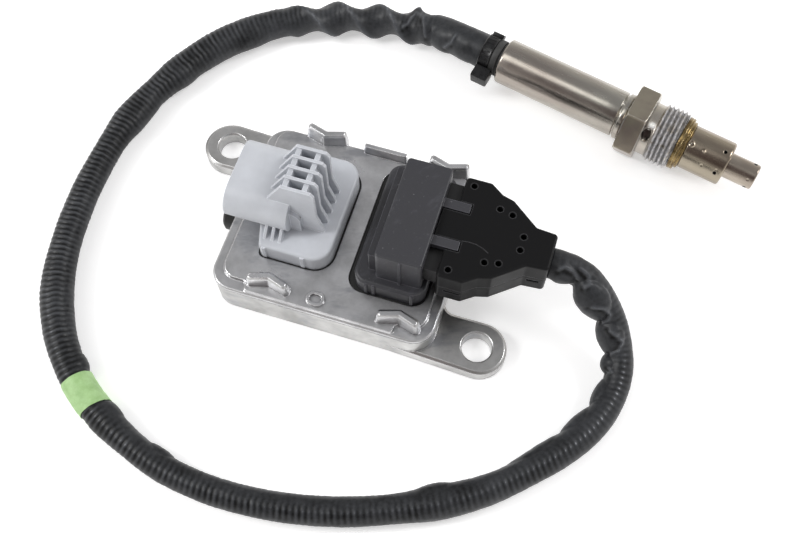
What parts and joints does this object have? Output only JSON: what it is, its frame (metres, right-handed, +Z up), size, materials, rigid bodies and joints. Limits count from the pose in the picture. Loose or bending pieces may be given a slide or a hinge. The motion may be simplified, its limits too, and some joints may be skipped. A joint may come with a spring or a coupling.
{
  "type": "nitrogen oxide sensor",
  "caption": "Exhaust nitrogen oxide sensor: cast control unit with mounting ears and harness socket, looped conduit, and a screw-in probe whose union nut turns.",
  "frame": {"origin": "midway between the two mounting holes of the control unit, on its base face", "axes": "+X along the control unit towards the cable plug, +Y across it away from the edge with the oval boss, +Z up out of the base; everything rests on the plane Z = 0"},
  "size_m": [0.2154, 0.1867, 0.042],
  "materials": {
    "cast_housing": "die-cast, lightly blasted",
    "cast_cover": "die-cast, bright worn edges",
    "seal_bead": "cured sealant bead",
    "board": "glass-filled laminate",
    "vent_plastic": "moulded",
    "pale_plastic": "moulded, satin",
    "header_seal": "moulded ring",
    "terminal_metal": "crimped barrels",
    "charcoal_plastic": "moulded, matt",
    "plug_plastic": "moulded, fine texture",
    "conduit_wrap": "corrugated tube, wound with tape",
    "tape_green": "vinyl tape",
    "tie_nylon": "moulded nylon",
    "grommet_rubber": "heat-resistant rubber",
    "sleeve_steel": "drawn stainless, heat tint",
    "body_steel": "turned stainless",
    "nut_steel": "turned stainless, paste on the thread",
    "collar_gold": "gold-toned heat tint",
    "tube_steel": "drawn stainless",
    "sensor_ceramic": "fired ceramic",
    "insulator_ceramic": "fired ceramic",
    "packing_powder": "pressed powder"
  },
  "bodies": {
    "sensor": {"housing_base": "cast_housing", "housing_cover": "cast_cover", "cover_seal": "seal_bead", "circuit_board": "board", "vent_cap": "vent_plastic", "harness_header": "pale_plastic", "harness_header_seal": "header_seal", "harness_terminals": "terminal_metal", "sensor_header": "charcoal_plastic", "sensor_header_seal": "header_seal", "sensor_terminals": "terminal_metal", "plug_connector_body": "plug_plastic", "plug_sockets": "terminal_metal", "plug_upper_shell": "plug_plastic", "plug_lower_shell": "plug_plastic", "sensor_conduit": "conduit_wrap", "green_tape": "tape_green", "cable_tie": "tie_nylon", "rear_grommet": "grommet_rubber", "probe_sleeve": "sleeve_steel", "probe_body": "body_steel", "seat_collar": "collar_gold", "outer_protection_tube": "tube_steel", "inner_protection_tube": "tube_steel", "ceramic_element": "sensor_ceramic", "rear_insulator": "insulator_ceramic", "seal_packing": "packing_powder", "contact_carrier": "insulator_ceramic"},
    "nut": {"union_nut": "nut_steel"}
  },
  "joints": [
    {"name": "nut_turn", "type": "hinge", "parent": "sensor", "child": "nut", "pos_m": [0.08963, 0.06558, 0.011], "axis": [0.9734, -0.2292, 0], "continuous": true}
  ]
}
